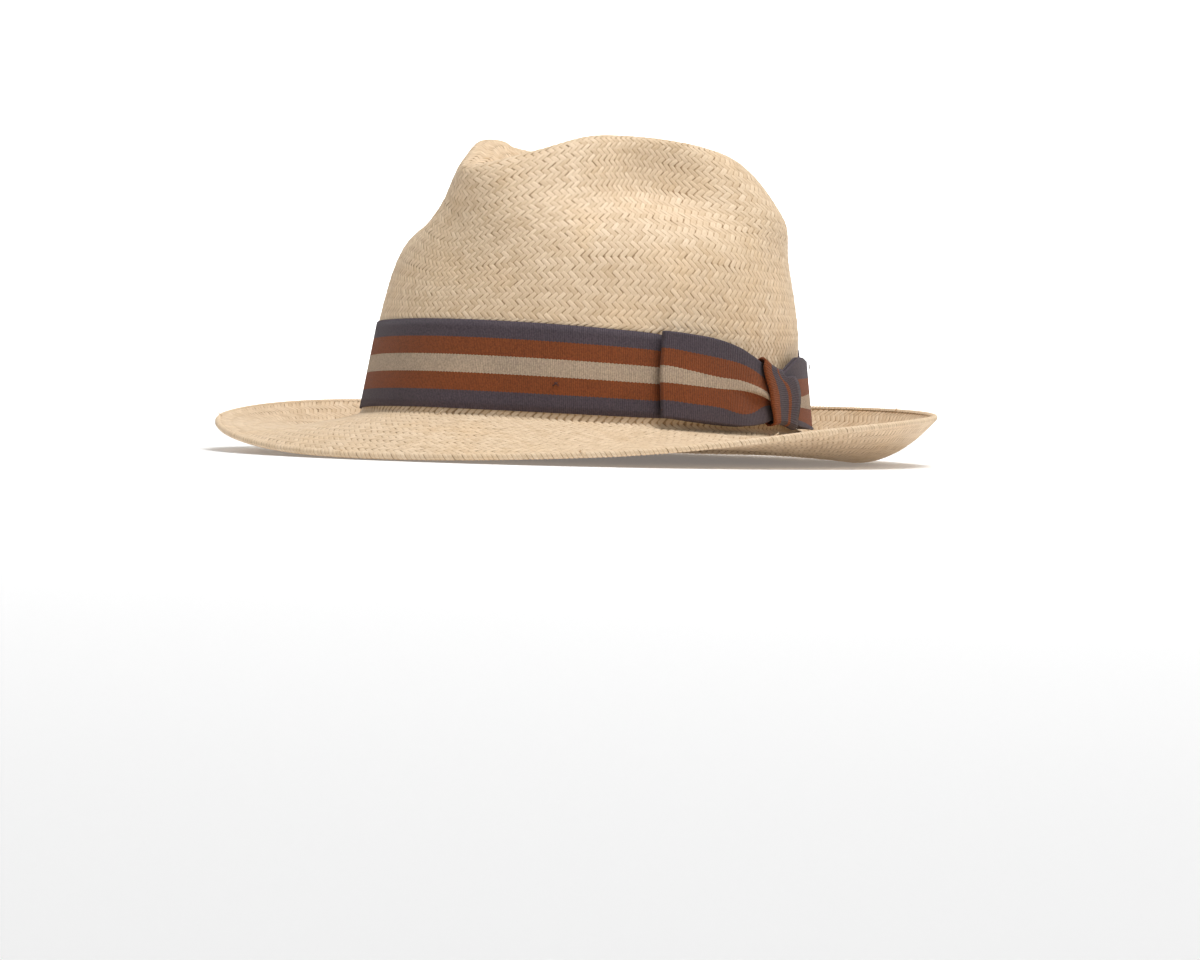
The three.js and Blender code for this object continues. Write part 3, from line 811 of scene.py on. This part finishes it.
def put(tree, socket, value):
    """Link a socket to another, or set its value."""
    if isinstance(value, bpy.types.NodeSocket):
        tree.links.new(value, socket)
    elif socket.type == "RGBA":
        socket.default_value = tuple(value)[:3] + (1.0,)
    else:
        socket.default_value = value


def add(tree, kind, settings=None, links=None):
    """A node with its settings, and its inputs set to values or linked from other sockets."""
    node = tree.nodes.new(kind)
    for key, value in (settings or {}).items():
        setattr(node, key, value)
    for key, value in (links or {}).items():
        put(tree, node.inputs[key], value)
    return node


def new_material(name, values):
    """A material, its node tree and its shader with some of its inputs set."""
    material = bpy.data.materials.new(name)
    material.use_nodes = True
    tree = material.node_tree
    shader = tree.nodes["Principled BSDF"]
    for key, value in values.items():
        put(tree, shader.inputs[key], value)
    return material, tree, shader


def noise(tree, place, scale, detail=2.0):
    values = {"Vector": place, "Scale": scale, "Detail": detail}
    return add(tree, "ShaderNodeTexNoise", None, values).outputs["Fac"]


def bump(tree, shader, height, strength, distance):
    values = {"Height": height, "Strength": strength, "Distance": distance}
    put(tree, shader.inputs["Normal"], add(tree, "ShaderNodeBump", None, values).outputs[0])


def mixed(tree, factor, a, b, blend="MIX"):
    """The colour that a Mix node gives."""
    node = add(tree, "ShaderNodeMix", {"data_type": "RGBA", "blend_type": blend}, {0: factor, 6: a, 7: b})
    return node.outputs[2]


def ramp(tree, value, stops, interpolation="LINEAR"):
    node = tree.nodes.new("ShaderNodeValToRGB")
    node.color_ramp.interpolation = interpolation
    elements = node.color_ramp.elements
    while len(elements) < len(stops):
        elements.new(0.5)
    for element, (position, rgb) in zip(elements, stops):
        element.position = position
        element.color = tuple(rgb)[:3] + (1.0,)
    tree.links.new(value, node.inputs[0])
    return node.outputs[0]


def math_node(tree, operation, a, b=0.0):
    return add(tree, "ShaderNodeMath", {"operation": operation}, {0: a, 1: b}).outputs[0]


def straw_material(colours):
    """Strands of straw: each with its own tone, with painted shade darkening its edges, with fibres along
    it.
    """
    values = {"Roughness": 0.55, "Specular IOR Level": 0.35}
    material, tree, shader = new_material("straw_strands", values)
    tone = add(tree, "ShaderNodeAttribute", {"attribute_name": "tone"}).outputs["Fac"]
    crest = add(tree, "ShaderNodeAttribute", {"attribute_name": "crest"}).outputs["Fac"]
    place = add(tree, "ShaderNodeTexCoord").outputs["Object"]
    uv = add(tree, "ShaderNodeUVMap").outputs["UV"]
    patches = noise(tree, place, 45.0, 3.0)
    stretched = add(tree, "ShaderNodeMapping", None, {"Vector": uv, "Scale": (1.5, 9.0, 1.0)})
    fibres = noise(tree, stretched.outputs[0], 1.6)
    base = mixed(tree, tone, colours.straw_dark, colours.straw_light)
    warm = [c * k for c, k in zip(colours.straw_light, (0.98, 0.88, 0.72))]
    spots = ramp(tree, patches, ((0.5, (0, 0, 0)), (0.75, (0.3, 0.3, 0.3))))
    base = mixed(tree, spots, base, warm)
    lines = ramp(tree, fibres, ((0.3, (0.9, 0.87, 0.82)), (0.6, (1, 1, 1))))
    base = mixed(tree, 1.0, base, lines, "MULTIPLY")
    # Painted shade: the strand's edges, low on its crest, are mixed towards the gap colour.
    edge = ramp(tree, crest, ((0.0, (0.92, 0.92, 0.92)), (0.42, (0, 0, 0))))
    base = mixed(tree, edge, base, colours.gap_shade)
    tree.links.new(base, shader.inputs["Base Color"])
    bump(tree, shader, fibres, 0.35, 0.0002)
    return material


def gap_material(colours):
    """Dark straw between and beneath the strands, darkened as painted shade seen through the weave."""
    material, tree, shader = new_material("gap_shade_wall", {"Roughness": 0.8})
    place = add(tree, "ShaderNodeTexCoord").outputs["Object"]
    grain = noise(tree, place, 600.0)
    dark = [c * 0.6 for c in colours.gap_shade]
    tree.links.new(mixed(tree, grain, dark, colours.gap_shade), shader.inputs["Base Color"])
    bump(tree, shader, grain, 0.4, 0.0003)
    return material


def ribbon_material(name, rib, stripes):
    """Ribbed ribbon with stripes across its UV, the small steps of its weave at their edges, and painted
    shade in the furrows between its ribs.
    """
    values = {"Roughness": 0.85, "Sheen Weight": 0.08, "Specular IOR Level": 0.2}
    material, tree, shader = new_material(name, values)
    uv = add(tree, "ShaderNodeUVMap").outputs["UV"]
    parts = add(tree, "ShaderNodeSeparateXYZ", None, {"Vector": uv})
    along_it, across = parts.outputs[0], parts.outputs[1]
    turns = math_node(tree, "MULTIPLY", along_it, 2 * math.pi / rib)
    wave = math_node(tree, "SINE", turns)
    tooth = 0.008
    teeth = math_node(tree, "PINGPONG", along_it, rib)
    teeth = math_node(tree, "MULTIPLY", teeth, tooth / rib)
    shifted = math_node(tree, "ADD", across, math_node(tree, "SUBTRACT", teeth, tooth / 2))
    base = ramp(tree, shifted, stripes, "CONSTANT")
    place = add(tree, "ShaderNodeTexCoord").outputs["Object"]
    fine = noise(tree, place, 1400.0)
    broad = noise(tree, place, 30.0, 3.0)
    speck = ramp(tree, fine, ((0.3, (0.72, 0.72, 0.74)), (0.65, (1.12, 1.1, 1.08))))
    base = mixed(tree, 1.0, base, speck, "MULTIPLY")
    worn = ramp(tree, broad, ((0.35, (0.9, 0.9, 0.9)), (0.7, (1.08, 1.06, 1.04))))
    base = mixed(tree, 1.0, base, worn, "MULTIPLY")
    # Painted shade: darker in the furrows between the ribs.
    furrow_shade = ramp(tree, wave, ((0.0, (0.78, 0.78, 0.78)), (0.55, (1, 1, 1))))
    base = mixed(tree, 1.0, base, furrow_shade, "MULTIPLY")
    tree.links.new(base, shader.inputs["Base Color"])
    height = math_node(tree, "ADD", wave, math_node(tree, "MULTIPLY", fine, 0.6))
    bump(tree, shader, height, 0.6, 0.00012)
    return material


def straw_strands(colours):
    return bpy.data.materials.get("straw_strands") or straw_material(colours)


def striped_ribbon(colours, weave):
    stripes = ((0.0, colours.grey), (0.2, colours.rust), (0.4, colours.beige), (0.6, colours.rust),
               (0.8, colours.grey))
    name = "striped_ribbon"
    return bpy.data.materials.get(name) or ribbon_material(name, weave.rib, stripes)


def knot_ribbon(colours, weave):
    stripes = ((0.0, colours.rust), (0.265, colours.grey), (0.58, colours.rust), (0.68, colours.grey))
    name = "knot_ribbon"
    return bpy.data.materials.get(name) or ribbon_material(name, weave.rib, stripes)


# Operators

class HatOperator:
    """What the hat's operators share."""
    bl_options = {"REGISTER", "UNDO"}

    def execute(self, context):
        scene = context.scene
        form = HatForm(scene.trilby_sizes)
        self.build(form, scene.trilby_weave, scene.trilby_colours)
        return {"FINISHED"}


class TRILBY_OT_shell(HatOperator, bpy.types.Operator):
    """Add the straw wall that lies beneath the strands"""
    bl_idname = "trilby.shell"
    bl_label = "Straw Wall"

    def build(self, form, weave, colours):
        # The wall takes the gap colour, painted shade seen through the weave.
        piece = show(shell_mesh(form), "straw_wall", gap_material(colours))
        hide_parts("straw_body")


class TRILBY_OT_crown_weave(HatOperator, bpy.types.Operator):
    """Weave the outside of the crown"""
    bl_idname = "trilby.crown_weave"
    bl_label = "Crown Weave"

    def build(self, form, weave, colours):
        end, foot = np.interp((BAND_WEAVE_START, BRIM_WEAVE_START), form.path, form.run)
        straw = straw_strands(colours)
        for name, low, high, fine, seed in (("crown_weave", WEAVE_START, end, True, 11),
                                            ("wall_weave", end, foot, False, 12)):
            mesh = face_out(weave_mesh(form, weave, low, high, 1, fine, seed), form, 1)
            show(mesh, name, straw)


class TRILBY_OT_brim_weave(HatOperator, bpy.types.Operator):
    """Weave both faces of the brim"""
    bl_idname = "trilby.brim_weave"
    bl_label = "Brim Weave"

    def build(self, form, weave, colours):
        start = np.interp(BRIM_WEAVE_START, form.path, form.run)
        end = form.run[-1] - BRIM_WEAVE_MARGIN
        straw = straw_strands(colours)
        for name, side, fine, seed in (("brim_weave_top", 1, True, 21),
                                       ("brim_weave_under", -1, False, 22)):
            mesh = face_out(weave_mesh(form, weave, start, end, side, fine, seed), form, side)
            show(mesh, name, straw)


class TRILBY_OT_inside_weave(HatOperator, bpy.types.Operator):
    """Weave the inside of the crown"""
    bl_idname = "trilby.inside_weave"
    bl_label = "Inside Weave"

    def build(self, form, weave, colours):
        end = np.interp(INSIDE_WEAVE_END, form.path, form.run)
        mesh = face_out(weave_mesh(form, weave, WEAVE_START, end, -1, False, 31), form, -1)
        show(mesh, "crown_weave_inside", straw_strands(colours))


class TRILBY_OT_rope_edge(HatOperator, bpy.types.Operator):
    """Add the rolled edge of the brim"""
    bl_idname = "trilby.rope_edge"
    bl_label = "Rope Edge"

    def build(self, form, weave, colours):
        show(rope_mesh(form, weave), "brim_rope", straw_strands(colours))


class TRILBY_OT_band(HatOperator, bpy.types.Operator):
    """Add the striped ribbon round the crown"""
    bl_idname = "trilby.band"
    bl_label = "Ribbon Band"

    def build(self, form, weave, colours):
        girth = form.fine_arc[-1] / 2
        piece = ribbon_piece(form, band_place(form), 256, 12, girth, "band_ribbon",
                             striped_ribbon(colours, weave))
        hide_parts("ribbon_band")


class TRILBY_OT_bow(HatOperator, bpy.types.Operator):
    """Add the flat bow and the ribbon wrapped round its middle"""
    bl_idname = "trilby.bow"
    bl_label = "Bow"

    def build(self, form, weave, colours):
        s = form.s
        span = 2 * (s.front_loop + s.rear_loop) + BOW_JOINT
        bow = ribbon_piece(form, bow_place(form), 192, 40, span, "bow_ribbon",
                           striped_ribbon(colours, weave))
        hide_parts("bow")
        wrap = 2 * s.ribbon_width * KNOT_LONG
        knot = ribbon_piece(form, knot_place(form), 96, 10, wrap, "knot_ribbon_wrap",
                            knot_ribbon(colours, weave))
        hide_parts("bow_knot")


class TRILBY_OT_threads(HatOperator, bpy.types.Operator):
    """Add the stitches on the ribbon and the stray ends of the straw"""
    bl_idname = "trilby.threads"
    bl_label = "Loose Threads"

    def build(self, form, weave, colours):
        values = {"Base Color": (0.05, 0.014, 0.012), "Roughness": 0.7}
        material = new_material("dark_thread", values)[0]
        show(thread_mesh(form, "ribbon"), "ribbon_stitches", material)
        show(thread_mesh(form, "straw"), "straw_ends", straw_strands(colours))


class TRILBY_OT_stage(bpy.types.Operator):
    """Add the floor, the lights and the camera"""
    bl_idname = "trilby.stage"
    bl_label = "Stage"
    bl_options = {"REGISTER", "UNDO"}

    def execute(self, context):
        scene = context.scene
        bm = bmesh.new()
        bmesh.ops.create_grid(bm, x_segments=40, y_segments=60, size=0.5)
        a = math.radians(CAMERA_AZIMUTH)
        back = Vector((math.sin(a), -math.cos(a), 0))
        right = Vector((math.cos(a), math.sin(a), 0))
        bend, reach = BACKDROP_BEND, BACKDROP_REACH
        for v in bm.verts:
            run = v.co.y * BACKDROP_SIZE
            sweep = min(max((run - reach) / bend, 0.0), math.pi / 2)
            flat = min(run, reach) + bend * math.sin(sweep)
            rise = bend * (1 - math.cos(sweep)) + max(0.0, run - reach - bend * math.pi / 2)
            v.co = right * (v.co.x * BACKDROP_SIZE) - back * flat + Vector((0, 0, rise - BACKDROP_DROP))
        bmesh.ops.recalc_face_normals(bm, faces=bm.faces)
        mesh = mesh_of(bm, "backdrop")
        values = {"Roughness": 0.9, "Emission Color": (1, 1, 1), "Emission Strength": BACKDROP_GLOW}
        material, tree, shader = new_material("backdrop_paper", values)
        place = add(tree, "ShaderNodeTexCoord").outputs["Object"]
        paper = mixed(tree, noise(tree, place, 3.0), (0.88, 0.88, 0.88), (0.92, 0.92, 0.92))
        tree.links.new(paper, shader.inputs["Base Color"])
        mesh.materials.append(material)
        linked("backdrop", mesh)

        world = bpy.data.worlds.new("soft_room")
        world.use_nodes = True
        background = world.node_tree.nodes["Background"]
        background.inputs["Color"].default_value = (1.0, 1.0, 1.0, 1)
        background.inputs["Strength"].default_value = ROOM_LIGHT
        scene.world = world
        scene.view_settings.view_transform = "Standard"
        for name, place, aim, size, power in zip(*LIGHTS.values()):
            data = bpy.data.lights.new(name, "AREA")
            data.shape = "DISK"
            data.size = size
            data.energy = power
            light = linked(name, data)
            light.location = place
            way = Vector(aim) - Vector(place)
            light.rotation_euler = way.to_track_quat("-Z", "Y").to_euler()

        e, r = math.radians(CAMERA_ELEVATION), math.radians(CAMERA_ROLL)
        away = Vector((math.sin(a) * math.cos(e), -math.cos(a) * math.cos(e), math.sin(e)))
        up = away.cross(right)
        x_axis = right * math.cos(r) + up * math.sin(r)
        y_axis = up * math.cos(r) - right * math.sin(r)
        data = bpy.data.cameras.new("camera")
        data.lens = CAMERA_LENS
        data.sensor_fit = "HORIZONTAL"
        data.sensor_width = SENSOR_WIDTH
        data.clip_start = 0.05
        data.clip_end = 50
        camera = linked("camera", data)
        turn = Matrix((x_axis, y_axis, away)).transposed().to_4x4()
        camera.matrix_world = Matrix.Translation(CAMERA_PLACE) @ turn
        scene.camera = camera
        return {"FINISHED"}


OPERATORS = (TRILBY_OT_shell, TRILBY_OT_crown_weave, TRILBY_OT_brim_weave, TRILBY_OT_inside_weave,
             TRILBY_OT_rope_edge, TRILBY_OT_band, TRILBY_OT_bow, TRILBY_OT_threads, TRILBY_OT_stage)


class TRILBY_PT_panel(bpy.types.Panel):
    """Sizes and pieces of the hat"""
    bl_idname = "TRILBY_PT_panel"
    bl_label = "Straw Trilby"
    bl_space_type = "VIEW_3D"
    bl_region_type = "UI"
    bl_category = "Straw Trilby"

    def draw(self, context):
        layout = self.layout
        for key, group in GROUPS.items():
            box = layout.box()
            for name in group.__annotations__:
                box.prop(getattr(context.scene, key), name)
        for operator in OPERATORS:
            layout.operator(operator.bl_idname)


GROUPS = {"trilby_sizes": TrilbySizes, "trilby_weave": TrilbyWeave, "trilby_colours": TrilbyColours}
CLASSES = (*GROUPS.values(), *OPERATORS, TRILBY_PT_panel)


def register():
    for item in CLASSES:
        bpy.utils.register_class(item)
    for name, group in GROUPS.items():
        setattr(bpy.types.Scene, name, bpy.props.PointerProperty(type=group))


def unregister():
    for name in GROUPS:
        delattr(bpy.types.Scene, name)
    for item in reversed(CLASSES):
        bpy.utils.unregister_class(item)


def main():
    register()
    bpy.ops.trilby.stage()
    bpy.ops.trilby.shell()
    bpy.ops.trilby.crown_weave()
    bpy.ops.trilby.brim_weave()
    bpy.ops.trilby.inside_weave()
    bpy.ops.trilby.rope_edge()
    bpy.ops.trilby.band()
    bpy.ops.trilby.bow()
    bpy.ops.trilby.threads()


if __name__ == "__main__":
    main()
